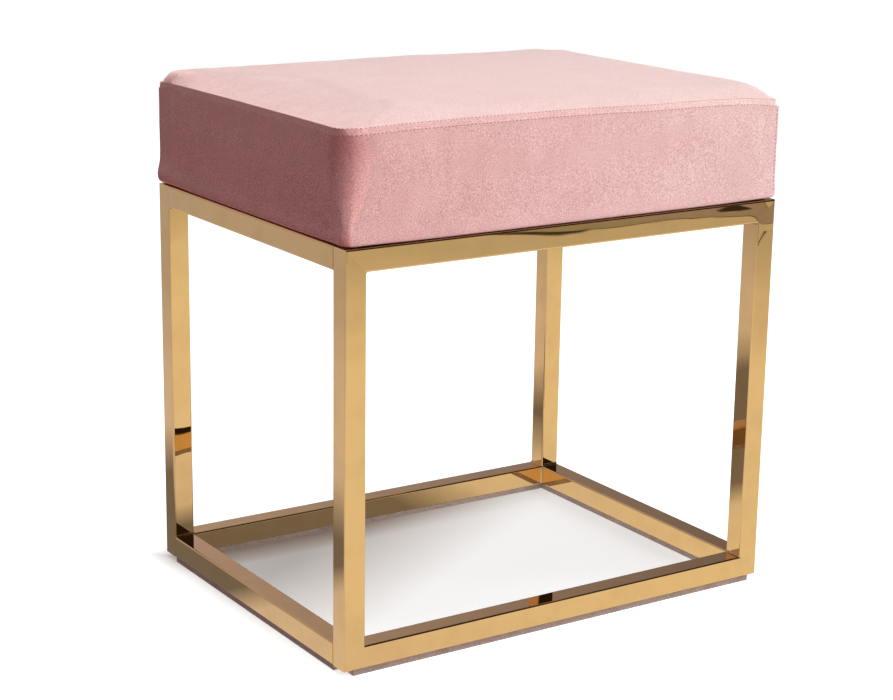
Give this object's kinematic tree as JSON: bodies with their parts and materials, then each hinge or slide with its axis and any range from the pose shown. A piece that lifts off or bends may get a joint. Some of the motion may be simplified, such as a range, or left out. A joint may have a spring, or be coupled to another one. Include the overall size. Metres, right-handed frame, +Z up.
{
  "type": "upholstered ottoman",
  "caption": "Boxed velvet cushion on a plywood board, screwed down on a welded open box frame of gold square tube that stands on felt strips.",
  "frame": {"origin": "centre of the footprint, at the underside of the floor strips", "axes": "+X to the right as seen from the front, +Y from the front to the back, +Z up"},
  "size_m": [0.45, 0.34, 0.475],
  "materials": {
    "gold_tube": "mirror-polished, gold-coloured stainless steel",
    "gold_plate": "satin, gold-coloured steel plate",
    "floor_felt": "pressed grey-brown felt",
    "zinc_steel": "zinc-plated steel",
    "plywood": "birch plywood, sanded",
    "foam": "open-cell polyurethane foam",
    "wadding_fibre": "polyester wadding",
    "velvet": "short-pile velvet, dusty pink",
    "lining_cloth": "black non-woven cloth"
  },
  "bodies": {
    "root": {"leg_front_left": "gold_tube", "leg_front_right": "gold_tube", "leg_back_left": "gold_tube", "leg_back_right": "gold_tube", "bottom_rail_front": "gold_tube", "bottom_rail_back": "gold_tube", "bottom_rail_left": "gold_tube", "bottom_rail_right": "gold_tube", "top_rail_front": "gold_tube", "top_rail_back": "gold_tube", "top_rail_left": "gold_tube", "top_rail_right": "gold_tube", "corner_plate_front_left": "gold_plate", "corner_plate_front_right": "gold_plate", "corner_plate_back_left": "gold_plate", "corner_plate_back_right": "gold_plate", "floor_strip_front": "floor_felt", "floor_strip_back": "floor_felt", "floor_strip_left": "floor_felt", "floor_strip_right": "floor_felt", "seat_screws": "zinc_steel", "spring_washers": "zinc_steel", "flat_washers": "zinc_steel", "t_nuts": "zinc_steel", "seat_board": "plywood", "foam_block": "foam", "wadding": "wadding_fibre", "cover_top_panel": "velvet", "cover_band_front_left": "velvet", "cover_band_back_right": "velvet", "dust_cover": "lining_cloth"}
  },
  "joints": []
}
